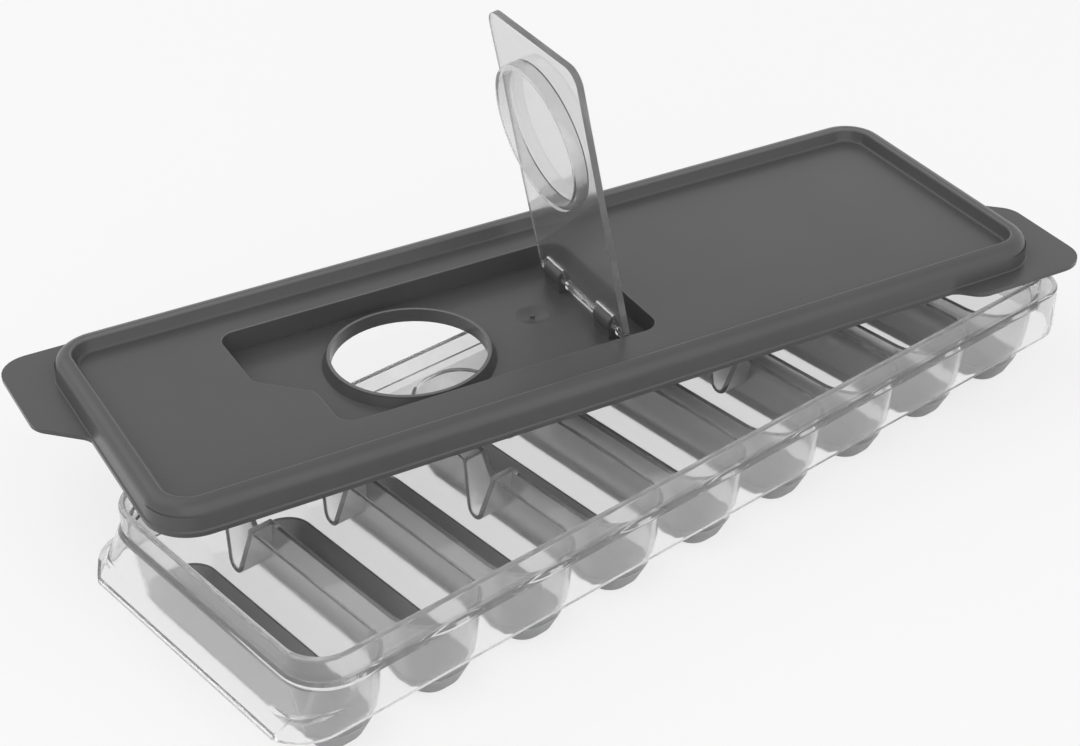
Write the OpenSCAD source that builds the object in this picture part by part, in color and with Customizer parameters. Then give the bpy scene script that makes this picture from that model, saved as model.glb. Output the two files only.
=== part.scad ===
// Ice cube tray for stick-shaped ice: a clear frame with a row of long cells, a soft
// push-out bottom under each cell, and a lid with a pouring hole and a hinged flap.
// Millimetres, +Z up. The origin is on the ground, under the middle of the tray.
// X runs along the row of cells and each cell lies across it, along Y.

/* [Cells] */
// Number of cells in the row
cell_count = 9; // [5:1:12]
// Distance from one cell to the next
cell_pitch = 31; // [29:0.5:40]
// Width of the ridge between two cells
ridge_w = 7.4; // [6:0.2:9]
// Length of a cell at its mouth
cell_l = 88; // [75:1:120]
// Corner radius of a cell at its mouth
cell_r = 10.5; // [9:0.5:11]
// Slope of the cell walls, as run over rise
cell_draft = 0.142; // [0.05:0.002:0.16]
// Thickness of the cell walls
cell_wall = 1.3; // [1:0.1:2]
// Radius of the rounded edge of a cell's mouth
mouth_round = 0.8; // [0.4:0.1:0.9]

/* [Soft bottoms] */
// Height of a soft bottom
cup_h = 7; // [5:0.5:10]
// Thickness of a soft bottom's floor
cup_floor = 1.5; // [1:0.1:3]
// Radius of the rounded lower edge of a soft bottom
cup_edge_r = 3; // [2:0.5:4]
// Lean of a soft bottom's walls
cup_lean = 27; // [15:1:32]

/* [Tray] */
// Height of the ridge tops above the ground
ridge_z = 28; // [22:0.5:40]
// Height of the rim above the ridge tops
rim_h = 8.2; // [6:0.2:14]
// Thickness of the rim
rim_wall = 1.8; // [1.4:0.1:3]
// Gap between the cell mouths and the inside of the rim
rim_gap = 0.8; // [0.8:0.1:2]
// Corner radius of the rim
rim_r = 12; // [8:0.5:16]
// Radius of the rounded edges of the rim's top
rim_round = 0.7; // [0.3:0.1:0.7]
// Thickness of the deck and of the skirt below the rim
shell_wall = 1.5; // [1.2:0.1:2.5]
// Height of the step below the rim, above the ridge tops
step_h = 1.7; // [1:0.1:3]
// Width of the step along the front and the back
step_w = 1.2; // [0.8:0.1:3]
// Radius of the rounded edge of the step
step_round = 0.7; // [0.3:0.1:1]
// Overhang of the sloping left end's foot beyond the rim
left_reach = 7.7; // [3:0.1:10]
// Overhang of the straight right end beyond the rim
right_reach = 5.9; // [3:0.1:8]
// Height of the skirt's lower edge
skirt_z = 15.5; // [10:0.5:17]
// Height at which the skirt starts to flare
flare_z = 21; // [19:0.5:24]
// Width of the flare
flare_w = 0.8; // [0.4:0.1:2]
// Corner radius of the skirt at the left end
skirt_r = 13; // [12:0.5:16]
// Corner radius of the skirt at the right end
right_r = 10.5; // [8:0.5:13]

/* [Level channels] */
// Width of a channel through a ridge, at the ridge top
channel_w = 11; // [8:0.5:16]
// Height of the bottom of a channel above the ground
channel_z = 13; // [12:0.5:20]
// Radius of the bottom of a channel
channel_r = 2.2; // [1.5:0.1:3]
// Distance of the outer channels from the middle line
channel_shift = 24; // [0:1:28]

/* [Lid] */
// Clearance between the lid's skirt and the rim
lid_fit = 0.25; // [0.15:0.05:0.6]
// Thickness of the lid
lid_wall = 1.3; // [1.1:0.1:2]
// Height of the lip round the lower edge of the lid
lip_h = 1.3; // [0.8:0.1:2]
// Width of the lip
lip_w = 0.4; // [0.2:0.1:0.5]
// Height of the lid
lid_h = 9; // [8:0.2:14]
// Width of the raised bead round the lid
bead_w = 5.8; // [5:0.1:9]
// Depth of the lid's panel below its bead
panel_sink = 4.2; // [2:0.1:5]
// Thickness of the tabs
tab_h = 1.4; // [1:0.1:3]
// Reach of the tabs beyond the ends of the lid
tab_reach = 12; // [8:0.5:20]
// Reach of the tabs beyond the sides of the lid
tab_side = 6; // [4:0.5:10]

/* [Pouring bay] */
// Depth of the bay below the lid's panel
bay_h = 6.8; // [6:0.1:9]
// Thickness of the bay's floor
bay_floor = 1; // [0.8:0.1:2]
// Length of the bay beside the flap
bay_l = 98.9; // [98.5:0.1:110]
// Width of the bay
bay_w = 58; // [55:1:70]
// Distance of the bay's right end from the middle of the lid
bay_right = 18.4; // [17.5:0.1:28]
// Distance of the bay's middle line behind that of the lid
bay_shift = 2.5; // [0:0.5:4]
// Reach of the finger notch at the flap's free end
notch_reach = 13; // [8:0.5:20]
// Corner radius of the bay
bay_r = 5; // [3:0.5:8]
// Radius of the pouring hole
hole_r = 22.4; // [18:0.2:23]
// Distance of the pouring hole from the hinge
hole_dist = 56.7; // [50:0.1:58]
// Height of the collar round the pouring hole
collar_h = 3.1; // [2:0.1:3.2]
// Thickness of the collar
collar_wall = 2.5; // [1.5:0.1:3]
// Radius of the moulding dimple in the bay's floor
dimple_r = 4.9; // [3:0.1:6]
// Depth of the moulding dimple
dimple_h = 0.5; // [0.3:0.1:0.6]

/* [Flap] */
// Length of the flap from its hinge to its free end
flap_l = 86.5; // [82:0.5:88]
// Length of the flap's foot beyond its hinge
foot_l = 2.6; // [1.8:0.1:3]
// Width of the flap
flap_w = 49.5; // [47:0.5:52]
// Thickness of the flap
flap_t = 2; // [1.5:0.1:2.2]
// Height of the plug ring under the flap
plug_h = 4; // [3:0.1:4.2]
// Thickness of the plug ring
plug_wall = 1.6; // [1.2:0.1:3]
// Clearance between the plug ring and the pouring hole
plug_fit = 0.5; // [0.4:0.1:1]
// Radius of the hinge bar
bar_r = 1.6; // [1.4:0.1:1.8]
// Clearance between the hinge bar and its clips
bar_fit = 0.1; // [0.05:0.01:0.1]
// Width of a hinge clip
clip_w = 8.4; // [6:0.2:10]
// Distance between the two hinge clips
clip_gap = 29.3; // [24:0.1:34]
// Angle by which the flap stands open
flap_open = 79.5; // [0:0.5:150]

/* [Lid on the tray] */
// Place of the lid's middle along the tray
lid_x = 6.3; // [-20:0.1:20]
// Place of the lid's middle across the tray
lid_y = 31.1; // [0:0.1:40]
// Angle by which the lid lies turned on the rim
lid_turn = -11.86; // [-20:0.01:20]

/* [Hidden] */
$fn = 96;
clear_colour = [0.86, 0.88, 0.88, 0.45];
soft_colour = [0.52, 0.52, 0.53];
lid_colour = [0.39, 0.39, 0.4];
over = 10;

// Cell sizes
mouth_w = cell_pitch - ridge_w;
core_x = mouth_w / 2 - cell_r;
core_y = cell_l / 2 - cell_r;

// Rim sizes
rim_z = ridge_z + rim_h;
row_l = cell_count * cell_pitch - ridge_w;
rim_x = row_l / 2 + rim_gap + rim_wall;
rim_y = cell_l / 2 + rim_gap + rim_wall;
step_z = ridge_z + step_h;

// Skirt sizes
skirt_y = rim_y + step_w;
right_x = rim_x + right_reach;
left_x = rim_x + left_reach;
lip_z = skirt_z + shell_wall;
left_slope = atan((left_reach - 0.1) / (step_z - lip_z));

// Lid sizes, with heights above the lower edge of the lid's skirt
lid_half_x = rim_x + lid_fit + lid_wall;
lid_half_y = rim_y + lid_fit + lid_wall;
lid_r = rim_r + lid_fit + lid_wall;
lid_core_x = lid_half_x - lid_r;
lid_core_y = lid_half_y - lid_r;
panel_z = lid_h - panel_sink;
floor_z = panel_z - bay_h;
skirt_slope = 0.8;
bead_foot = bead_w + 1.2;
bead_round = 1.3;
hinge_x = bay_right - 8.9;
hinge_z = panel_z - flap_t / 2 - 1.4;
hole_x = hinge_x - hole_dist;
clip_r = bar_r + bar_fit + 1.3;
snap_w = 1.65 * bar_r;
lid_z = rim_z + bay_floor - floor_z;

function cell_x(i) = (i - (cell_count + 1) / 2) * cell_pitch;

// Radius of a cell wall at height z
function wall_r(z, wall) = cell_r + wall - cell_draft * (ridge_z - z);

// Points of an arc round [x, y]
function arc(x, y, r, from, to, steps = 8) =
    [for (k = [0 : steps]) let (a = from + (to - from) * k / steps) [x + r * cos(a), y + r * sin(a)]];

function unit(v) = v / norm(v);

// Points that round one corner of an outline, between the points before and after it
function corner(before, at, after, r, steps) =
    let (u = unit(before - at), v = unit(after - at), half = acos(u * v) / 2)
    let (middle = at + unit(u + v) * r / sin(half), side = (u[0] * v[1] - u[1] * v[0]) > 0 ? -1 : 1)
    let (start = at + u * r / tan(half) - middle, turn = side * (180 - 2 * half))
    [for (k = [0 : steps]) let (a = turn * k / steps)
        middle + [start[0] * cos(a) - start[1] * sin(a), start[0] * sin(a) + start[1] * cos(a)]];

// An outline with its corners rounded, from a list of [x, y, radius]
function rounded(list, steps = 8) =
    [for (k = [0 : len(list) - 1])
        let (n = len(list), p = list[k], a = list[(k + n - 1) % n], b = list[(k + 1) % n])
        each p[2] > 0
            ? corner([a[0], a[1]], [p[0], p[1]], [b[0], b[1]], p[2], steps)
            : [[p[0], p[1]]]];

// Flat rounded rectangle
module rounded_rect(x, y, r) {
    square([2 * x, 2 * (y - r)], center = true);
    square([2 * (x - r), 2 * y], center = true);
    for (sx = [-1, 1], sy = [-1, 1])
        translate([sx * (x - r), sy * (y - r)])
            circle(r);
}

// Rounded rectangle from height low to height high
module block(x, y, r, low, high) {
    translate([0, 0, low])
        linear_extrude(high - low)
            rounded_rect(x, y, r);
}

// Solid whose section, drawn as points [radius, height], runs round a core rectangle
module moulded(x, y, section) {
    spread = function (c) concat(
        [for (p = section) [c + p[0], p[1]]],
        [for (k = [len(section) - 1 : -1 : 0]) [-c - section[k][0], section[k][1]]]
    );
    rotate([90, 0, 0])
        linear_extrude(2 * y, center = true)
            polygon(spread(x));
    rotate([90, 0, 90])
        linear_extrude(2 * x, center = true)
            polygon(spread(y));
    low = section[0][1];
    high = section[len(section) - 1][1];
    for (sx = [-1, 1], sy = [-1, 1])
        translate([sx * x, sy * y, 0])
            rotate_extrude()
                polygon(concat([[0, low]], section, [[0, high]]));
}

// Hollow ring whose closed section runs round a core rectangle
module ring_round(x, y, section) {
    for (k = [0 : 3]) {
        a = k % 2 == 0 ? x : y;
        b = k % 2 == 0 ? y : x;
        rotate([0, 0, 90 * k])
            translate([a, b, 0]) {
                rotate_extrude(angle = 90)
                    polygon(section);
                rotate([90, 0, 0])
                    linear_extrude(2 * b)
                        polygon(section);
            }
    }
}

// Rounded rectangle with rounded upper edges
module soft_block(x, y, r, low, high, edge) {
    moulded(x - r, y - r, concat([[r, low]], arc(r - edge, high - edge, edge, 0, 90, 5)));
}

// Outside of one cell
module cell_form() {
    moulded(core_x, core_y, [[wall_r(cup_h, cell_wall), cup_h], [wall_r(ridge_z, cell_wall), ridge_z]]);
}

// Space inside one cell, with a rounded edge at its mouth
module cell_space() {
    tilt = atan(cell_draft);
    low = ridge_z - mouth_round;
    edge_x = wall_r(low, 0) + mouth_round / cos(tilt);
    moulded(core_x, core_y, concat(
        [[wall_r(cup_h - 1, 0), cup_h - 1]],
        arc(edge_x, low, mouth_round, 180 - tilt, 90, 5),
        [[edge_x, ridge_z + 0.3]]
    ));
}

// Tongue-shaped cross-section of a channel, widened by wall
module channel_section(wall = 0) {
    low = channel_z + channel_r;
    half = channel_w / 2 + wall;
    polygon(concat(
        [[half, ridge_z + (wall == 0 ? over : 0)], [half, ridge_z - 2]],
        arc(0, low, -channel_r - wall, 160, 20),
        [[-half, ridge_z - 2], [-half, ridge_z + (wall == 0 ? over : 0)]]
    ));
}

// Channels that let the water level out between neighbouring cells
module channels(wall = 0) {
    for (i = [1 : cell_count - 1])
        translate([cell_x(i) + cell_pitch / 2, i % 3 == 0 ? 0 : channel_shift, 0])
            rotate([90, 0, 90])
                linear_extrude(mouth_w - 4 * wall, center = true)
                    channel_section(wall);
}

// Outside of the skirt below the rim, or its inside where inset is given. The tilted
// block gives the left end its slope and the upright one the straight right end.
module skirt_form(inset, high) {
    y = skirt_y - inset;
    edge = inset > 0 ? 0.1 : step_round;
    intersection() {
        translate([right_x - inset - left_x, 0, 0])
            soft_block(left_x, y, right_r - inset, lip_z, high, edge);
        translate([-rim_x - 0.1 + inset / cos(left_slope), 0, step_z])
            rotate([0, left_slope, 0])
                translate([left_x, 0, 0])
                    block(left_x, y, skirt_r - inset, -left_x, left_x);
    }
    half = (left_x + right_x) / 2 - inset;
    r = skirt_r - inset;
    intersection() {
        translate([(right_x - left_x) / 2, 0, 0])
            moulded(half - r, y - r, [
                [r + flare_w, skirt_z - inset],
                [r + flare_w, lip_z],
                [r, flare_z]
            ]);
        rotate([90, 0, 0])
            linear_extrude(4 * skirt_y, center = true)
                polygon([
                    [-left_x + inset, skirt_z - over],
                    [right_x - inset, skirt_z - over],
                    [right_x - inset, flare_z + over],
                    [inset / cos(left_slope) - left_x + (flare_z + over - lip_z) * tan(left_slope), flare_z + over],
                    [-left_x + inset, lip_z - inset * tan(left_slope / 2)]
                ]);
    }
}

// Space inside the rim, above the ridges, with a rounded edge at the top
module rim_space() {
    r = rim_r - rim_wall;
    moulded(rim_x - rim_r, rim_y - rim_r, concat(
        [[r, ridge_z]],
        arc(r + rim_round, rim_z - rim_round, rim_round, 180, 90, 5),
        [[r + rim_round, rim_z + 1]]
    ));
}

// Clear frame: rim, deck, skirt, and the sloping walls of the cells
module tray_frame() {
    color(clear_colour)
        difference() {
            union() {
                difference() {
                    union() {
                        skirt_form(0, step_z);
                        soft_block(rim_x, rim_y, rim_r, ridge_z - shell_wall, rim_z, rim_round);
                    }
                    difference() {
                        skirt_form(shell_wall, step_z - shell_wall);
                        block(rim_x, rim_y, rim_r, ridge_z - shell_wall, rim_z);
                    }
                }
                for (i = [1 : cell_count])
                    translate([cell_x(i), 0, 0])
                        cell_form();
                channels(cell_wall);
            }
            rim_space();
            for (i = [1 : cell_count])
                translate([cell_x(i), 0, 0])
                    cell_space();
            channels();
        }
}

// Section of a soft bottom from its floor at height low, with a rounded edge of radius e
function cup_section(top, low, e) =
    let (lean = cup_lean, rise = cup_h - low - e + e * sin(lean))
    concat(
        arc(top - rise * tan(lean) - e * cos(lean), low + e, e, -90, -lean),
        [[top, cup_h]]
    );

// Soft bottom of cell i, which carries the frame and is pressed to push the ice out
module cell_bottom(i) {
    top = wall_r(cup_h, cell_wall);
    inner = top - cell_wall;
    color(soft_colour)
        translate([cell_x(i), 0, 0])
            difference() {
                moulded(core_x, core_y, cup_section(top, 0, cup_edge_r));
                moulded(core_x, core_y, concat(
                    cup_section(inner, cup_floor, cup_edge_r - 1),
                    [[inner, cup_h + 1]]
                ));
            }
}

// Closed section of the lid's skirt and bead
function bead_section() = let (r = lid_r, w = lid_wall, f = bead_round, under = lid_h - w - 0.6)
    concat(
        [[r - w, 0], [r, 0], [r, lip_h], [r - lip_w, lip_h + lip_w]],
        arc(r - skirt_slope - f, lid_h - f, f, 0, 90, 6),
        arc(r - bead_w + f, lid_h - f, f, 90, 180, 6),
        [[r - bead_foot, panel_z], [r - bead_foot, panel_z - w], [r - bead_foot + w, panel_z - w]],
        [[r - bead_w + w, under], [r - w - skirt_slope, under]]
    );

// Outline of the pouring bay, widened by wall, with the finger notch at its far end
module bay_outline(wall = 0) {
    left = bay_right - bay_l;
    low = bay_shift - bay_w / 2 - wall;
    high = bay_shift + bay_w / 2 + wall;
    r = bay_r + wall;
    t = wall * tan(22.5);
    polygon(rounded([
        [left - wall, low, r],
        [bay_right + wall, low, r],
        [bay_right + wall, high, r],
        [left - notch_reach - wall, high, r],
        [left - notch_reach - wall, bay_shift + 2 - t, r],
        [left - wall, bay_shift + 2 - notch_reach - t, 5 - wall]
    ]));
}

// Tab at the front right corner of the lid; the left one is the same, turned round
module tab() {
    x = lid_half_x;
    y = lid_half_y;
    linear_extrude(tab_h)
        polygon(rounded([
            [x - 3, 6, 0],
            [x - 0.2, 6, 0],
            [x - 0.2, -6, 6],
            [x + tab_reach, -6 - tab_reach, 8],
            [x + tab_reach, -y - tab_side, 9],
            [x - 28, -y - tab_side, 7],
            [x - 28 - tab_side, -y + 0.2, 6],
            [x - 46, -y + 0.2, 0],
            [x - 46, -y + 3, 0],
            [x - lid_r, -y + lid_r, 0]
        ]));
}

// Clip that snaps over the hinge bar
module hinge_clip() {
    rotate([90, 0, 0])
        linear_extrude(clip_w, center = true)
            difference() {
                union() {
                    circle(clip_r);
                    translate([-0.8 * clip_r, floor_z - hinge_z - bay_floor / 2])
                        square([1.6 * clip_r, hinge_z - floor_z + bay_floor / 2]);
                }
                circle(bar_r + bar_fit);
                translate([-snap_w / 2, 0])
                    square([snap_w, clip_r + 1]);
            }
}

// Lid in its own frame, with the lower edge of its skirt at height 0
module lid_form() {
    difference() {
        union() {
            ring_round(lid_core_x, lid_core_y, bead_section());
            block(lid_half_x - bead_foot, lid_half_y - bead_foot, lid_r - bead_foot,
                panel_z - lid_wall, panel_z);
            for (turn = [0, 180])
                rotate([0, 0, turn])
                    difference() {
                        tab();
                        block(lid_half_x - lid_wall / 2, lid_half_y - lid_wall / 2,
                            lid_r - lid_wall / 2, -1, tab_h + 1);
                    }
            translate([0, 0, floor_z - bay_floor])
                linear_extrude(panel_z - floor_z + bay_floor)
                    bay_outline(lid_wall);
        }
        translate([0, 0, floor_z])
            linear_extrude(bay_h + over)
                bay_outline();
    }
}

// Collar round the pouring hole, with rounded upper edges
module collar() {
    high = floor_z + collar_h;
    wide = hole_r + collar_wall;
    translate([hole_x, bay_shift, 0])
        rotate_extrude()
            polygon(concat(
                [[hole_r - 1, floor_z - bay_floor / 2], [wide, floor_z - bay_floor / 2]],
                arc(wide - 0.6, high - 0.6, 0.6, 0, 90, 4),
                [[hole_r - 1, high]]
            ));
}

// Dish that the moulding gate leaves in the bay's floor, with its nub in the middle
module dimple() {
    ball = (dimple_r * dimple_r / dimple_h + dimple_h) / 2;
    translate([hinge_x - 15, bay_shift + 4, floor_z])
        difference() {
            intersection() {
                translate([0, 0, ball - dimple_h])
                    sphere(ball);
                translate([0, 0, -bay_floor])
                    cylinder(h = 2 * bay_floor, r = dimple_r);
            }
            translate([0, 0, -dimple_h - 0.1])
                cylinder(h = dimple_h, r = 0.7);
        }
}

module lid() {
    color(lid_colour)
        place_lid()
            difference() {
                union() {
                    lid_form();
                    collar();
                    for (side = [-1, 1])
                        translate([hinge_x, bay_shift + side * clip_gap / 2, hinge_z])
                            hinge_clip();
                }
                translate([hole_x, bay_shift, floor_z - over])
                    cylinder(h = 2 * over, r = hole_r);
                dimple();
            }
}

// Flap, closed: its plate lies over the pouring hole with the plug ring in it
module flap_form() {
    notch_l = clip_r + 0.7;
    difference() {
        translate([hinge_x, bay_shift, hinge_z - flap_t / 2])
            linear_extrude(flap_t)
                polygon(rounded([
                    [-flap_l, -flap_w / 2, 5],
                    [foot_l, -flap_w / 2, 2.4],
                    [foot_l, flap_w / 2, 2.4],
                    [-flap_l, flap_w / 2, 5]
                ]));
        for (side = [-1, 1])
            translate([hinge_x - notch_l, bay_shift + side * clip_gap / 2 - clip_w / 2 - 0.6, hinge_z - over])
                cube([notch_l + over, clip_w + 1.2, 2 * over]);
    }
    bar_l = flap_w - 5;
    translate([hinge_x, bay_shift - bar_l / 2, hinge_z])
        rotate([-90, 0, 0])
            cylinder(h = bar_l, r = bar_r);
    plug_r = hole_r - plug_fit;
    translate([hole_x, bay_shift, hinge_z - flap_t / 2 - plug_h])
        difference() {
            cylinder(h = plug_h + flap_t / 2, r = plug_r);
            translate([0, 0, -1])
                cylinder(h = plug_h + 1, r = plug_r - plug_wall);
        }
}

module flap() {
    color(clear_colour)
        place_lid()
            translate([hinge_x, 0, hinge_z])
                rotate([0, flap_open, 0])
                    translate([-hinge_x, 0, -hinge_z])
                        flap_form();
}

// The lid lies askew on the rim: the floor of its bay rests on the rim's back side
module place_lid() {
    translate([lid_x, lid_y, lid_z])
        rotate([0, 0, lid_turn])
            children();
}

tray_frame();
for (i = [1 : cell_count])
    cell_bottom(i);
lid();
flap();
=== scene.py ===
"""Looks of the ice cube tray: clear frame, soft grey cell bottoms, grey lid, clear flap and studio."""

import math

import bmesh
import bpy
from bpy.props import FloatProperty, FloatVectorProperty, PointerProperty
from bpy.types import Operator, Panel, PropertyGroup
from mathutils import Euler, Matrix, Vector


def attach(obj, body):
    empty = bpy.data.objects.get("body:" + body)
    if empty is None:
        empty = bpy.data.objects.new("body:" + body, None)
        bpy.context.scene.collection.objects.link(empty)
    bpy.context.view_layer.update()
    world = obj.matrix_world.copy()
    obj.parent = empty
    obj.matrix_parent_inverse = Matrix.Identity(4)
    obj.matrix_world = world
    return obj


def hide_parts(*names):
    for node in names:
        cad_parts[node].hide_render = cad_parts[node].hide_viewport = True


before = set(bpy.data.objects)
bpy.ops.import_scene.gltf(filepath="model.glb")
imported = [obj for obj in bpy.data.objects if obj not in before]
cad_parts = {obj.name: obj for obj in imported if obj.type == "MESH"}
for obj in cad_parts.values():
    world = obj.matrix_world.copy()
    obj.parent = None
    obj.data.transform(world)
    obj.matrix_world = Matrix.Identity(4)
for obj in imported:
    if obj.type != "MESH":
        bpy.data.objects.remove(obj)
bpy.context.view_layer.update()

bl_info = {
    "name": "Ice Cube Tray Looks",
    "version": (1, 0, 0),
    "blender": (4, 5, 0),
    "location": "View3D > Sidebar > Ice Tray",
    "description": "Models and finishes the pieces of a lidded ice cube tray around its packed frame",
    "category": "Object",
}

# The lid's frame, and sizes of the CAD lid in it, with heights above its lower edge
LID_PLACE = Vector((0.0063, 0.0311, 0.0392))
LID_TURN = math.radians(-11.86)
LID_HALF = (0.13995, 0.04815)
LID_CORNER = 0.01355
PANEL_TOP = 0.0048
BAY_FLOOR = -0.002
BAY_MIDDLE = Vector((-0.03755, 0.0025))
BAY_HALF = Vector((0.058, 0.031))
DIMPLE = Vector((-0.0055, 0.0065))
DIMPLE_REACH = 0.0049
DIMPLE_LOW = 0.0007
BEAD_TOP = 0.009
BEAD_WIDTH = 0.0058
BEAD_SLOPE = 0.0008
BEAD_ROUND = 0.0013
TAB_TOP = (0.0012, 0.0015)
HOLE = Vector((-0.0472, 0.0025))
HOLE_RADIUS = 0.0224
COLLAR_WALL = 0.0025
COLLAR_HEIGHTS = (0.001, 0.0035)
COLLAR_TOP = 0.0024
COLLAR_TOP_WIDTH = 0.002
HINGE = Vector((0.0095, 0.0024))
HINGE_REACH = 0.004

# Sizes of the CAD flap and tray
FLAP_THICK = 0.002
CELL_PITCH = 0.031
CELL_COUNT = 9
CHANNEL_SHIFT = 0.024
CHANNEL_HALF = 0.0071
CHANNEL_HEIGHTS = (0.0115, 0.0275)

# How near a vertex has to be to count as lying in a place, how far a face may lean, and which edges are hard
ON_PLANE = 0.00005
ON_CREST = 0.00002
ON_RIM = 0.00015
NEAR = 0.0001
JOIN = 1e-6
CREST_SHARE = 0.95
FACES_UP = 0.3
FACES_ASIDE = 0.3
EDGE_ON = 0.6
FLAT_TURN = math.radians(0.03)
HARD_TURN = math.radians(40)
CREASE_TURN = math.radians(28)

LAMP_AIM = Vector((0.0, 0.0, 0.03))

CELL_BOTTOMS = sorted(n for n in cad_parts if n.startswith("cell_bottom_"))
TRAY_BODY = "tray"
FLAP_BODY = "flap"


class ShapeSettings(PropertyGroup):
    """Sizes of the rounded forms that the finished lid has beyond the CAD model"""

    crest_outer: FloatProperty(
        name="Outer Crest",
        description="Radius of the long curve on the outer side of the lid's bead",
        unit="LENGTH",
        min=0.0,
        default=0.0039,
    )
    crest_inner: FloatProperty(
        name="Inner Crest",
        description="Radius of the narrow rounding on the inner side of the lid's bead",
        unit="LENGTH",
        min=0.0,
        default=0.0009,
    )
    foot_round: FloatProperty(
        name="Foot Rounding",
        description="Radius in the corner between the bead and the panel",
        unit="LENGTH",
        min=0.0,
        default=0.0006,
    )
    bay_round: FloatProperty(
        name="Bay Rounding",
        description="Radius of the edge round the pouring bay",
        unit="LENGTH",
        min=0.0,
        default=0.0006,
    )
    tab_round: FloatProperty(
        name="Tab Rounding",
        description="Radius of the upper edges of the pull tabs",
        unit="LENGTH",
        min=0.0,
        default=0.0004,
    )
    collar_share: FloatProperty(
        name="Collar Top",
        description="Width of the collar's top as a share of its width at the foot",
        subtype="FACTOR",
        min=0.1,
        max=1.0,
        default=0.45,
    )
    dimple_gain: FloatProperty(
        name="Dimple Gain",
        description="How much deeper the dimple is than in the CAD model, as a share",
        subtype="FACTOR",
        min=0.0,
        max=1.0,
        default=0.5,
    )


class FinishSettings(PropertyGroup):
    """Colours and surface values of the three plastics"""

    frame_tint: FloatVectorProperty(
        name="Frame Tint",
        description="Colour of the light that passes one wall of the clear frame",
        subtype="COLOR",
        size=3,
        min=0.0,
        max=1.0,
        default=(0.87, 0.87, 0.87),
    )
    flap_tint: FloatVectorProperty(
        name="Flap Tint",
        description="Colour of the light that passes the clear flap",
        subtype="COLOR",
        size=3,
        min=0.0,
        max=1.0,
        default=(0.8, 0.8, 0.8),
    )
    clear_share: FloatProperty(
        name="Clear Share",
        description="Share of the light that passes the clear plastic unscattered; the rest makes it milky",
        subtype="FACTOR",
        min=0.0,
        max=1.0,
        default=0.91,
    )
    edge_haze: FloatProperty(
        name="Edge Haze",
        description="Haze that the flap's narrow edges and the channels' walls have beyond the rest",
        subtype="FACTOR",
        min=0.0,
        max=1.0,
        default=0.4,
    )
    frame_depth: FloatProperty(
        name="Frame Depth",
        description="How fast the clear frame darkens light along its way through, per metre",
        min=0.0,
        default=25.0,
    )
    flap_depth: FloatProperty(
        name="Flap Depth",
        description="How fast the flap darkens light along its way through, per metre",
        min=0.0,
        default=38.0,
    )
    clear_roughness: FloatProperty(
        name="Clear Roughness",
        description="Haze of the clear plastic",
        subtype="FACTOR",
        min=0.0,
        max=1.0,
        default=0.075,
    )
    soft_colour: FloatVectorProperty(
        name="Soft Grey",
        description="Colour of the soft cell bottoms",
        subtype="COLOR",
        size=3,
        min=0.0,
        max=1.0,
        default=(0.29, 0.29, 0.292),
    )
    lid_colour: FloatVectorProperty(
        name="Lid Grey",
        description="Colour of the lid",
        subtype="COLOR",
        size=3,
        min=0.0,
        max=1.0,
        default=(0.087, 0.086, 0.087),
    )


class StageSettings(PropertyGroup):
    """Camera, lamps and floor"""

    camera_place: FloatVectorProperty(
        name="Camera Place",
        description="Where the camera stands",
        subtype="TRANSLATION",
        unit="LENGTH",
        size=3,
        default=(-0.34103, -0.37174, 0.36719),
    )
    camera_turn: FloatVectorProperty(
        name="Camera Turn",
        description="Pitch up from straight down, roll, and heading from the Y axis",
        subtype="EULER",
        size=3,
        default=(math.radians(56.78), 0.0, math.radians(-40.13)),
    )
    camera_roll: FloatProperty(
        name="Camera Roll",
        description="Turn of the camera about its own view",
        subtype="ANGLE",
        default=math.radians(-0.9),
    )
    camera_lens: FloatProperty(
        name="Lens",
        description="Focal length for a sensor 36 mm wide",
        default=71.63,
    )
    sky_level: FloatProperty(
        name="Sky Level",
        description="Strength of the even light from all round",
        min=0.0,
        default=0.48,
    )
    floor_lift: FloatProperty(
        name="Floor Lift",
        description="Share of plain white in the floor as the camera sees it; the rest shows the shadow",
        subtype="FACTOR",
        min=0.0,
        max=1.0,
        default=0.74,
    )
    floor_colour: FloatVectorProperty(
        name="Floor Colour",
        description="Colour of the pale floor",
        subtype="COLOR",
        size=3,
        min=0.0,
        max=1.0,
        default=(0.94, 0.94, 0.94),
    )


def add_node(tree, kind, place, **values):
    """Adds a shader node at a place and sets its plain attributes"""
    node = tree.nodes.new(kind)
    node.location = place
    for name, value in values.items():
        setattr(node, name, value)
    return node


def new_material(name):
    """Returns a material with an empty Principled shader, its tree and the shader"""
    material = bpy.data.materials.new(name)
    material.use_nodes = True
    tree = material.node_tree
    return material, tree, tree.nodes["Principled BSDF"]


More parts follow.
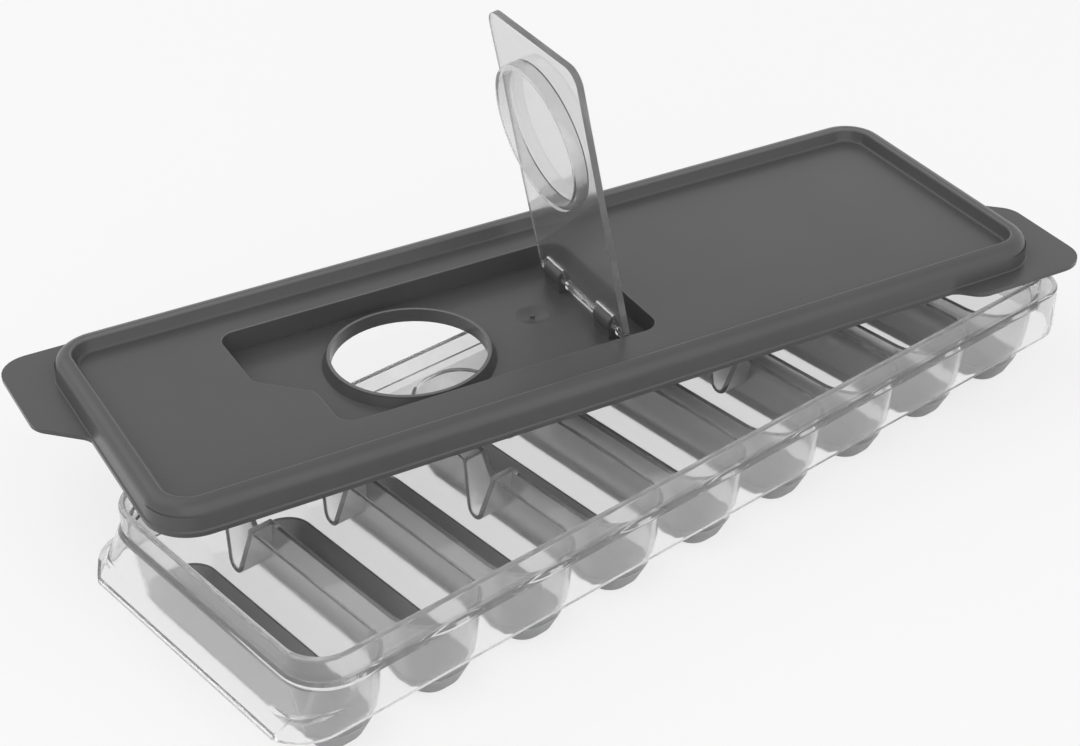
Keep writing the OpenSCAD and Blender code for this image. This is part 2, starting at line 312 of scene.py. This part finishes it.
def add_surface_noise(tree, shader, scale, low, high, bump, bump_scale):
    """Varies the roughness softly and gives the surface a faint moulded waviness"""
    place = add_node(tree, "ShaderNodeTexCoord", (-1100, 0))
    cloud = add_node(tree, "ShaderNodeTexNoise", (-850, 120))
    cloud.inputs["Scale"].default_value = scale
    cloud.inputs["Detail"].default_value = 4.0
    spread = add_node(tree, "ShaderNodeMapRange", (-600, 120))
    spread.inputs["To Min"].default_value = low
    spread.inputs["To Max"].default_value = high
    grain = add_node(tree, "ShaderNodeTexNoise", (-850, -200))
    grain.inputs["Scale"].default_value = bump_scale
    grain.inputs["Detail"].default_value = 3.0
    relief = add_node(tree, "ShaderNodeBump", (-350, -200))
    relief.inputs["Strength"].default_value = bump
    relief.inputs["Distance"].default_value = 0.0002
    tree.links.new(place.outputs["Object"], cloud.inputs["Vector"])
    tree.links.new(place.outputs["Object"], grain.inputs["Vector"])
    tree.links.new(cloud.outputs["Fac"], spread.inputs["Value"])
    tree.links.new(spread.outputs["Result"], shader.inputs["Roughness"])
    tree.links.new(grain.outputs["Fac"], relief.inputs["Height"])
    tree.links.new(relief.outputs["Normal"], shader.inputs["Normal"])


def add_colour_cloud(tree, shader, colour, scale, spread, highlight_gain=0.0):
    """Lets the colour vary softly about its mean, as pigment does; faces marked for the painted highlight
    get a paler colour, a painted highlight along edges
    """
    place = add_node(tree, "ShaderNodeTexCoord", (-1100, 620))
    cloud = add_node(tree, "ShaderNodeTexNoise", (-850, 620))
    cloud.inputs["Scale"].default_value = scale
    cloud.inputs["Detail"].default_value = 5.0
    level = add_node(tree, "ShaderNodeMapRange", (-600, 620))
    level.inputs["To Min"].default_value = 1.0 - spread
    level.inputs["To Max"].default_value = 1.0 + spread
    tone = add_node(tree, "ShaderNodeVectorMath", (-350, 620), operation="SCALE")
    tone.inputs[0].default_value = tuple(colour)
    tree.links.new(place.outputs["Object"], cloud.inputs["Vector"])
    tree.links.new(cloud.outputs["Fac"], level.inputs["Value"])
    tone_level = level.outputs["Result"]
    # Painted highlight: faces marked by the attribute get a paler colour, standing in for light lines along
    # rounded edges
    if highlight_gain:
        mark = add_node(tree, "ShaderNodeAttribute", (-850, 880), attribute_name="painted_highlight")
        gain = add_node(tree, "ShaderNodeMapRange", (-600, 880))
        gain.inputs["To Min"].default_value = 1.0
        gain.inputs["To Max"].default_value = 1.0 + highlight_gain
        both = add_node(tree, "ShaderNodeMath", (-420, 760), operation="MULTIPLY")
        tree.links.new(mark.outputs["Fac"], gain.inputs["Value"])
        tree.links.new(level.outputs["Result"], both.inputs[0])
        tree.links.new(gain.outputs["Result"], both.inputs[1])
        tone_level = both.outputs[0]
    tree.links.new(tone_level, tone.inputs["Scale"])
    tree.links.new(tone.outputs["Vector"], shader.inputs["Base Color"])


def clear_plastic(name, tint, share, depth, roughness):
    """Clear polypropylene: milky haze, faint flow waves from moulding, and lamps that reach through it"""
    material, tree, shader = new_material(name)
    shader.inputs["Base Color"].default_value = (*tint, 1.0)
    shader.inputs["IOR"].default_value = 1.49
    shader.inputs["Transmission Weight"].default_value = share
    add_surface_noise(
        tree, shader, scale=60.0, low=roughness * 0.6, high=roughness * 1.6, bump=0.22, bump_scale=75.0)
    path = add_node(tree, "ShaderNodeLightPath", (0, 520))
    passing = add_node(tree, "ShaderNodeBsdfTransparent", (60, -520))
    passing.inputs["Color"].default_value = (*tint, 1.0)
    join = add_node(tree, "ShaderNodeMixShader", (340, 200))
    output = next(n for n in tree.nodes if n.type == "OUTPUT_MATERIAL")
    output.location = (560, 200)
    inside = add_node(tree, "ShaderNodeVolumeAbsorption", (340, -60))
    inside.inputs["Color"].default_value = (0.0, 0.0, 0.0, 1.0)
    inside.inputs["Density"].default_value = depth
    tree.links.new(inside.outputs["Volume"], output.inputs["Volume"])
    tree.links.new(path.outputs["Is Shadow Ray"], join.inputs[0])
    tree.links.new(shader.outputs["BSDF"], join.inputs[1])
    tree.links.new(passing.outputs["BSDF"], join.inputs[2])
    tree.links.new(join.outputs["Shader"], output.inputs["Surface"])
    return material


def frost_edges(material, haze):
    """Adds haze to the plastic on the faces whose attribute marks them as frosted"""
    tree = material.node_tree
    roughness = tree.nodes["Principled BSDF"].inputs["Roughness"]
    mark = add_node(tree, "ShaderNodeAttribute", (-600, 380), attribute_name="frosted")
    sum_of_both = add_node(tree, "ShaderNodeMath", (-350, 250), operation="MULTIPLY_ADD")
    sum_of_both.inputs[1].default_value = haze
    tree.links.new(mark.outputs["Fac"], sum_of_both.inputs[0])
    tree.links.new(roughness.links[0].from_socket, sum_of_both.inputs[2])
    tree.links.new(sum_of_both.outputs["Value"], roughness)


def soft_plastic(name, colour):
    """Soft grey rubbery plastic with a dull sheen"""
    material, tree, shader = new_material(name)
    add_colour_cloud(tree, shader, colour, scale=70.0, spread=0.12)
    shader.inputs["IOR"].default_value = 1.5
    shader.inputs["Subsurface Weight"].default_value = 1.0
    shader.inputs["Subsurface Radius"].default_value = (1.0, 1.0, 1.0)
    shader.inputs["Subsurface Scale"].default_value = 0.006
    add_surface_noise(tree, shader, scale=80.0, low=0.45, high=0.62, bump=0.15, bump_scale=1800.0)
    return material


def lid_plastic(name, colour):
    """Grey moulded plastic with a satin surface and a painted highlight on the faces marked for it"""
    material, tree, shader = new_material(name)
    add_colour_cloud(tree, shader, colour, scale=28.0, spread=0.1, highlight_gain=0.75)
    shader.inputs["IOR"].default_value = 1.5
    shader.inputs["Specular IOR Level"].default_value = 0.3
    add_surface_noise(tree, shader, scale=45.0, low=0.25, high=0.34, bump=0.12, bump_scale=1500.0)
    return material


def give(obj, material):
    """Makes a material the only one of an object"""
    obj.data.materials.clear()
    obj.data.materials.append(material)


def link_piece(name, mesh, body, slot, *nodes):
    """Adds a finished mesh as a piece that rides on a body and stands for CAD nodes"""
    obj = bpy.data.objects.new(name, mesh)
    bpy.context.scene.collection.objects.link(obj)
    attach(obj, body)
    if nodes:
        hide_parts(*nodes)
    return obj


def keep_flats(obj):
    """Shades each rounded edge without bending the light on the flat faces beside it"""
    even = obj.modifiers.new("Even flats", "WEIGHTED_NORMAL")
    even.mode = "FACE_AREA"
    even.weight = 100
    even.keep_sharp = True


def merged_form(node):
    """Starts a bmesh from a CAD node's mesh: corners joined, flat areas made one face each"""
    bm = bmesh.new()
    bm.from_mesh(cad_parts[node].data)
    bmesh.ops.remove_doubles(bm, verts=bm.verts, dist=JOIN)
    bmesh.ops.dissolve_limit(bm, angle_limit=FLAT_TURN, verts=bm.verts, edges=bm.edges)
    return bm


def soften(bm, radius, segments, wanted):
    """Rounds the hard edges that the test wants and returns the new faces"""
    hard = [edge for edge in bm.edges
            if edge.is_manifold and edge.calc_face_angle(0.0) > HARD_TURN and wanted(edge)]
    done = bmesh.ops.bevel(
        bm, geom=hard, offset=radius, offset_type="OFFSET", segments=segments, profile=0.5,
        affect="EDGES", clamp_overlap=True, material=-1)
    return done["faces"]


def finished_mesh(bm, name, sharp=()):
    """Closes a bmesh into a mesh with smooth faces and sharp edges where it turns hard"""
    for face in bm.faces:
        face.smooth = True
    for edge in bm.edges:
        edge.smooth = not (edge.is_manifold and edge.calc_face_angle(0.0) > CREASE_TURN)
    for edge in sharp:
        edge.smooth = False
    mesh = bpy.data.meshes.new(name)
    bm.to_mesh(mesh)
    bm.free()
    return mesh


def clean_copy(node):
    """Copies a CAD node's mesh, merged and smooth"""
    return finished_mesh(merged_form(node), node + "_form")


def lid_place():
    """The lid's own frame: it lies turned and shifted on the rim"""
    return Matrix.Translation(LID_PLACE) @ Matrix.Rotation(LID_TURN, 4, "Z")


def past_core(place):
    """How far a place in the lid's own frame lies outside the rectangle that its corners run round"""
    across = max(abs(place.x) - (LID_HALF[0] - LID_CORNER), 0.0)
    along = max(abs(place.y) - (LID_HALF[1] - LID_CORNER), 0.0)
    return across, along, math.hypot(across, along)


def round_bead(bm, crest_outer, crest_inner):
    """Gives the bead its long outer curve and narrow crest; the bmesh is in the lid's own frame"""
    core_x, core_y = LID_HALF[0] - LID_CORNER, LID_HALF[1] - LID_CORNER
    for vert in bm.verts:
        x, y, z = vert.co
        across, along, reach = past_core(vert.co)
        inward = LID_CORNER - reach
        if z < BEAD_TOP - BEAD_ROUND - NEAR or inward > BEAD_WIDTH + NEAR or reach == 0.0:
            continue
        rise = z - (BEAD_TOP - BEAD_ROUND)
        if inward < BEAD_WIDTH / 2:
            turn = math.atan2(rise, BEAD_SLOPE + BEAD_ROUND - inward)
            new = crest_outer
            deep = BEAD_SLOPE + new - new * math.cos(turn)
        else:
            turn = math.atan2(rise, inward - (BEAD_WIDTH - BEAD_ROUND))
            new = crest_inner
            deep = BEAD_WIDTH - new + new * math.cos(turn)
        scale = (LID_CORNER - deep) / reach
        vert.co.x = math.copysign(min(abs(x), core_x) + across * scale, x)
        vert.co.y = math.copysign(min(abs(y), core_y) + along * scale, y)
        vert.co.z = BEAD_TOP - new + new * math.sin(turn)


def narrow_collar(bm, share):
    """Leans the collar's outer wall inwards, to a narrow top; the bmesh is in the lid's own frame"""
    for vert in bm.verts:
        outward = (vert.co.xy - HOLE).length - HOLE_RADIUS
        height = vert.co.z - BAY_FLOOR
        if COLLAR_HEIGHTS[0] < height < COLLAR_HEIGHTS[1] and NEAR < outward < COLLAR_WALL + NEAR:
            scale = (HOLE_RADIUS + outward * share) / (HOLE_RADIUS + outward)
            vert.co.xy = HOLE + (vert.co.xy - HOLE) * scale


def at_panel(vert):
    """Tells whether a vertex lies in the plane of the lid's panel"""
    return abs(vert.co.z - PANEL_TOP) < ON_PLANE


def in_bay(vert):
    """Tells whether a vertex lies in the rectangle that the pouring bay and its notch take up"""
    offset = vert.co.xy - BAY_MIDDLE
    return abs(offset.x) < BAY_HALF.x and abs(offset.y) < BAY_HALF.y


def on_bay_edge(edge):
    """Tells whether an edge runs round the opening of the pouring bay"""
    return all(at_panel(vert) and in_bay(vert) for vert in edge.verts)


def on_bead_foot(edge):
    """Tells whether an edge runs along the foot of the bead, round the panel"""
    return all(at_panel(vert) and not in_bay(vert) for vert in edge.verts)


def on_tab_edge(edge):
    """Tells whether an edge runs round the top of a pull tab"""
    return all(TAB_TOP[0] < vert.co.z < TAB_TOP[1] for vert in edge.verts)


def on_dimple_rim(edge):
    """Tells whether an edge runs round the dimple in the bay's floor"""
    return all(
        abs((vert.co.xy - DIMPLE).length - DIMPLE_REACH) < ON_RIM and abs(vert.co.z - BAY_FLOOR) < ON_PLANE
        for vert in edge.verts)


def on_crest(face, crest_inner):
    """Tells whether a face is on the narrow inner rounding of the bead"""
    for vert in face.verts:
        inward = LID_CORNER - past_core(vert.co)[2]
        if vert.co.z < BEAD_TOP - crest_inner - ON_CREST:
            return False
        if not BEAD_WIDTH - crest_inner * CREST_SHARE < inward < BEAD_WIDTH + NEAR:
            return False
    return True


def on_collar_top(face):
    """Tells whether a face is on the narrow top of the collar"""
    limit = HOLE_RADIUS + COLLAR_TOP_WIDTH
    return face.normal.z > FACES_UP and all(
        vert.co.z > BAY_FLOOR + COLLAR_TOP and (vert.co.xy - HOLE).length < limit for vert in face.verts)


def lid_form(shape):
    """Models the lid: bead, collar and dimple, and rounded edges on the bay, the tabs and the bead's foot;
    marks these edges for a painted highlight
    """
    bm = merged_form("lid")
    place = lid_place()
    bmesh.ops.transform(bm, matrix=place.inverted(), verts=bm.verts)
    round_bead(bm, shape.crest_outer, shape.crest_inner)
    narrow_collar(bm, shape.collar_share)
    # The rounded bay and tab edges, the bead's narrow crest and the collar's top are marked for a paler
    # colour: a painted highlight along these edges
    painted_highlight = bm.faces.layers.float.new("painted_highlight")
    soften(bm, shape.foot_round, 3, on_bead_foot)
    for face in soften(bm, shape.bay_round, 3, on_bay_edge) + soften(bm, shape.tab_round, 2, on_tab_edge):
        face[painted_highlight] = 1.0
    for face in bm.faces:
        if on_crest(face, shape.crest_inner) or on_collar_top(face):
            face[painted_highlight] = 1.0
    for vert in bm.verts:
        if (vert.co.xy - DIMPLE).length < DIMPLE_REACH and vert.co.z > BAY_FLOOR - DIMPLE_LOW:
            vert.co.z += (vert.co.z - BAY_FLOOR) * shape.dimple_gain
    rim = [edge for edge in bm.edges if on_dimple_rim(edge)]
    bmesh.ops.transform(bm, matrix=place, verts=bm.verts)
    return finished_mesh(bm, "lid_form", sharp=rim)


def frame_form():
    """Models the clear frame and marks the walls of the channels through its ridges as frosted"""
    bm = merged_form("tray_frame")
    frosted = bm.faces.layers.float.new("frosted")
    for ridge in range(1, CELL_COUNT):
        x = (ridge - CELL_COUNT / 2) * CELL_PITCH
        y = 0.0 if ridge % 3 == 0 else CHANNEL_SHIFT
        for face in bm.faces:
            centre = face.calc_center_median()
            along_ridge = abs(centre.x - x) < CELL_PITCH / 2 and abs(centre.y - y) < CHANNEL_HALF
            at_height = CHANNEL_HEIGHTS[0] < centre.z < CHANNEL_HEIGHTS[1]
            if along_ridge and at_height and abs(face.normal.x) < FACES_ASIDE:
                face[frosted] = 1.0
    return finished_mesh(bm, "tray_frame_form")


def flap_form():
    """Models the flap and marks the narrow faces of its plate's outline as frosted"""
    bm = merged_form("flap")
    frosted = bm.faces.layers.float.new("frosted")
    outside = max(bm.faces, key=lambda face: face.calc_area())
    normal, middle = outside.normal.copy(), outside.calc_center_median()
    in_lid = lid_place().inverted()
    for face in bm.faces:
        centre = face.calc_center_median()
        depth = (middle - centre).dot(normal)
        near = in_lid @ centre
        away = (Vector((near.x, near.z)) - HINGE).length
        edge_on = abs(face.normal.dot(normal)) < EDGE_ON
        if edge_on and 0.0 < depth < FLAP_THICK and away > HINGE_REACH:
            face[frosted] = 1.0
    return finished_mesh(bm, "flap_form")


class ICETRAY_OT_tray_frame(Operator):
    """Gives the clear frame its smooth surfaces and plastic"""

    bl_idname = "icetray.tray_frame"
    bl_label = "Tray Frame"

    def execute(self, context):
        finish = context.scene.icetray_finish
        obj = link_piece("clear_frame", frame_form(), TRAY_BODY, "clear_plastic", "tray_frame")
        keep_flats(obj)
        material = clear_plastic(
            "Clear frame plastic", finish.frame_tint,
            finish.clear_share, finish.frame_depth, finish.clear_roughness)
        frost_edges(material, finish.edge_haze)
        give(obj, material)
        return {"FINISHED"}


class ICETRAY_OT_cell_bottoms(Operator):
    """Finishes the soft bottom of each cell"""

    bl_idname = "icetray.cell_bottoms"
    bl_label = "Cell Bottoms"

    def execute(self, context):
        material = soft_plastic("Soft grey plastic", context.scene.icetray_finish.soft_colour)
        for node in CELL_BOTTOMS:
            obj = link_piece("soft_" + node, clean_copy(node), TRAY_BODY, "soft_grey", node)
            keep_flats(obj)
            give(obj, material)
        return {"FINISHED"}


class ICETRAY_OT_lid(Operator):
    """Finishes the grey lid"""

    bl_idname = "icetray.lid"
    bl_label = "Lid"

    def execute(self, context):
        obj = link_piece("moulded_lid", lid_form(context.scene.icetray_shape), TRAY_BODY, "lid_grey", "lid")
        keep_flats(obj)
        give(obj, lid_plastic("Grey lid plastic", context.scene.icetray_finish.lid_colour))
        return {"FINISHED"}


class ICETRAY_OT_flap(Operator):
    """Finishes the clear flap over the pouring hole"""

    bl_idname = "icetray.flap"
    bl_label = "Flap"

    def execute(self, context):
        finish = context.scene.icetray_finish
        obj = link_piece("clear_flap", flap_form(), FLAP_BODY, "flap_plastic", "flap")
        keep_flats(obj)
        material = clear_plastic(
            "Clear flap plastic", finish.flap_tint,
            finish.clear_share, finish.flap_depth, finish.clear_roughness)
        frost_edges(material, finish.edge_haze)
        give(obj, material)
        return {"FINISHED"}


def add_lamp(name, place, size, power):
    """Adds a square area lamp at a place, turned to the middle of the object"""
    data = bpy.data.lights.new(name, "AREA")
    data.shape = "SQUARE"
    data.size = size
    data.energy = power
    lamp = bpy.data.objects.new(name, data)
    lamp.location = place
    lamp.rotation_euler = (LAMP_AIM - Vector(place)).to_track_quat("-Z", "Y").to_euler()
    bpy.context.scene.collection.objects.link(lamp)


def seen_as_white(tree, out_of=("Is Camera Ray", "Is Glossy Ray", "Is Transmission Ray")):
    """Returns an output that is 1 on rays that see the background and 0 on rays that light a dull surface"""
    path = add_node(tree, "ShaderNodeLightPath", (-900, 300))
    total = None
    for step, name in enumerate(out_of):
        if total is None:
            total = path.outputs[name]
            continue
        join = add_node(tree, "ShaderNodeMath", (-700 + 160 * step, 300), operation="MAXIMUM")
        tree.links.new(total, join.inputs[0])
        tree.links.new(path.outputs[name], join.inputs[1])
        total = join.outputs[0]
    straight = add_node(tree, "ShaderNodeMath", (-700, 100), operation="LESS_THAN")
    straight.inputs[1].default_value = 0.5
    both = add_node(tree, "ShaderNodeMath", (-200, 200), operation="MULTIPLY")
    tree.links.new(path.outputs["Diffuse Depth"], straight.inputs[0])
    tree.links.new(total, both.inputs[0])
    tree.links.new(straight.outputs[0], both.inputs[1])
    return both.outputs[0]


class ICETRAY_OT_stage(Operator):
    """Sets up the camera, the pale floor, the lamps and the white surroundings"""

    bl_idname = "icetray.stage"
    bl_label = "Stage"

    def execute(self, context):
        scene = context.scene
        stage = scene.icetray_stage
        scene.view_settings.view_transform = "Standard"
        scene.cycles.max_bounces = 24
        scene.cycles.transmission_bounces = 24
        scene.cycles.glossy_bounces = 12
        scene.cycles.transparent_max_bounces = 24

        data = bpy.data.cameras.new("Photo camera")
        data.sensor_fit = "HORIZONTAL"
        data.sensor_width = 36.0
        data.lens = stage.camera_lens
        camera = bpy.data.objects.new("Photo camera", data)
        camera.location = stage.camera_place
        turn = Euler(stage.camera_turn).to_matrix() @ Matrix.Rotation(stage.camera_roll, 3, "Z")
        camera.rotation_euler = turn.to_euler()
        scene.collection.objects.link(camera)
        scene.camera = camera

        bm = bmesh.new()
        bmesh.ops.create_grid(bm, x_segments=1, y_segments=1, size=3.0)
        mesh = bpy.data.meshes.new("Floor")
        bm.to_mesh(mesh)
        bm.free()
        floor = bpy.data.objects.new("Floor", mesh)
        scene.collection.objects.link(floor)
        material, tree, shader = new_material("Pale floor")
        shader.inputs["Base Color"].default_value = (*stage.floor_colour, 1.0)
        shader.inputs["Roughness"].default_value = 0.9
        white = add_node(tree, "ShaderNodeEmission", (0, -420))
        join = add_node(tree, "ShaderNodeMixShader", (340, 200))
        output = next(n for n in tree.nodes if n.type == "OUTPUT_MATERIAL")
        seen = add_node(tree, "ShaderNodeLightPath", (-700, 520))
        share = add_node(tree, "ShaderNodeMath", (-500, 520), operation="MULTIPLY")
        share.inputs[1].default_value = stage.floor_lift
        most = add_node(tree, "ShaderNodeMath", (-100, 420), operation="MAXIMUM")
        tree.links.new(seen.outputs["Is Camera Ray"], share.inputs[0])
        tree.links.new(share.outputs[0], most.inputs[0])
        tree.links.new(seen_as_white(tree, ("Is Glossy Ray", "Is Transmission Ray")), most.inputs[1])
        tree.links.new(most.outputs[0], join.inputs[0])
        tree.links.new(shader.outputs["BSDF"], join.inputs[1])
        tree.links.new(white.outputs["Emission"], join.inputs[2])
        tree.links.new(join.outputs["Shader"], output.inputs["Surface"])
        give(floor, material)

        world = bpy.data.worlds.new("White surroundings")
        scene.world = world
        world.use_nodes = True
        tree = world.node_tree
        back = tree.nodes["Background"]
        mix = add_node(tree, "ShaderNodeMapRange", (-300, 200))
        mix.inputs["To Min"].default_value = stage.sky_level
        mix.inputs["To Max"].default_value = 1.0
        tree.links.new(seen_as_white(tree), mix.inputs["Value"])
        tree.links.new(mix.outputs["Result"], back.inputs["Strength"])
        back.inputs["Color"].default_value = (1.0, 1.0, 1.0, 1.0)

        add_lamp("Key lamp", (-0.6, 0.8, 1.2), 1.6, 6.5)
        add_lamp("Fill lamp", (-0.5, -1.5, 0.85), 3.0, 26.0)
        return {"FINISHED"}


OPERATORS = (
    ICETRAY_OT_tray_frame,
    ICETRAY_OT_cell_bottoms,
    ICETRAY_OT_lid,
    ICETRAY_OT_flap,
    ICETRAY_OT_stage,
)


class ICETRAY_PT_looks(Panel):
    """Lists the pieces of the ice tray"""

    bl_label = "Ice Tray"
    bl_idname = "ICETRAY_PT_looks"
    bl_space_type = "VIEW_3D"
    bl_region_type = "UI"
    bl_category = "Ice Tray"

    def draw(self, context):
        column = self.layout.column(align=True)
        for operator in OPERATORS:
            column.operator(operator.bl_idname)
        scene = context.scene
        for settings in (scene.icetray_shape, scene.icetray_finish, scene.icetray_stage):
            box = self.layout.box()
            for name in settings.__annotations__:
                box.prop(settings, name)


CLASSES = (ShapeSettings, FinishSettings, StageSettings, *OPERATORS, ICETRAY_PT_looks)


def register():
    for cls in CLASSES:
        bpy.utils.register_class(cls)
    bpy.types.Scene.icetray_shape = PointerProperty(type=ShapeSettings)
    bpy.types.Scene.icetray_finish = PointerProperty(type=FinishSettings)
    bpy.types.Scene.icetray_stage = PointerProperty(type=StageSettings)


def unregister():
    del bpy.types.Scene.icetray_stage
    del bpy.types.Scene.icetray_finish
    del bpy.types.Scene.icetray_shape
    for cls in reversed(CLASSES):
        bpy.utils.unregister_class(cls)


def main():
    register()
    bpy.ops.icetray.tray_frame()
    bpy.ops.icetray.cell_bottoms()
    bpy.ops.icetray.lid()
    bpy.ops.icetray.flap()
    bpy.ops.icetray.stage()


if __name__ == "__main__":
    main()
